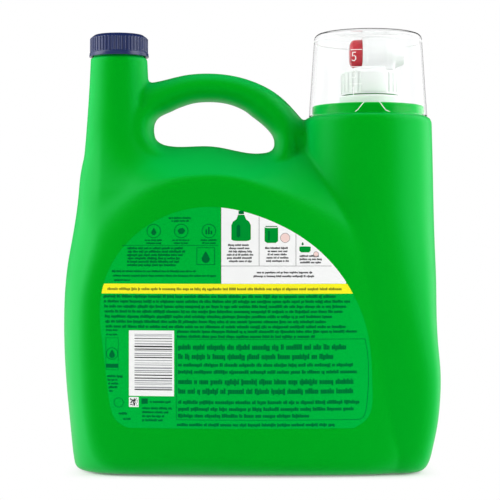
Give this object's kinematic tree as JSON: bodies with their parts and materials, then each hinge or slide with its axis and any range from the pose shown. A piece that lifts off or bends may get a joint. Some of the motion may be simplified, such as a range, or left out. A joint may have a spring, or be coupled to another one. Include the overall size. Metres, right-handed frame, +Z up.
{
  "type": "laundry detergent bottle",
  "caption": "Large blow-moulded detergent bottle with hollow handle, screw vent cap, press tap on a ribbed collar and a clear dosing cup over the tap.",
  "frame": {"origin": "under the middle of the base, on the plane it stands on", "axes": "+Z up; +Y from the face with the usage label towards the display face; +X from the vent cap towards the tap"},
  "size_m": [0.2632, 0.1064, 0.304],
  "materials": {
    "bottle": "satin",
    "label": "satin",
    "liquid": "gloss",
    "cap": "satin",
    "liner": "matte",
    "tap_white": "satin",
    "seal": "matte",
    "button": "gloss",
    "spring": "satin",
    "cup": "gloss"
  },
  "bodies": {
    "bottle": {"bottle_body": "bottle", "usage_label": "label", "display_label": "label", "detergent": "liquid", "tap_collar": "tap_white", "tap_gasket": "seal", "tap_body": "tap_white", "stem_o_ring": "seal", "tap_spring": "spring"},
    "liner": {"vent_cap_liner": "liner"},
    "cap": {"vent_cap": "cap"},
    "button": {"tap_button": "button", "tap_stem": "tap_white", "tap_seal": "seal"},
    "cup": {"dosing_cup": "cup"}
  },
  "joints": [
    {"name": "vent_cap_lift", "type": "slide", "parent": "bottle", "child": "liner", "axis": [0, 0, 1], "range_m": [0, 0.018]},
    {"name": "vent_cap_turn", "type": "hinge", "parent": "liner", "child": "cap", "pos_m": [-0.0932, 0, 0.2943], "axis": [0, 0, 1], "range_deg": [0, 1530]},
    {"name": "button_press", "type": "slide", "parent": "bottle", "child": "button", "axis": [1, 0, 0], "range_m": [0, 0.0045], "stiffness_N_per_m": 1500, "springref_m": -0.002, "deforming": ["tap_spring"]},
    {"name": "cup_lift", "type": "slide", "parent": "bottle", "child": "cup", "axis": [0, 0, 1], "range_m": [0, 0.08]}
  ],
  "couplings": [
    {"joint": "vent_cap_lift", "follows": "vent_cap_turn", "m_per_rad": 0.00067323}
  ]
}
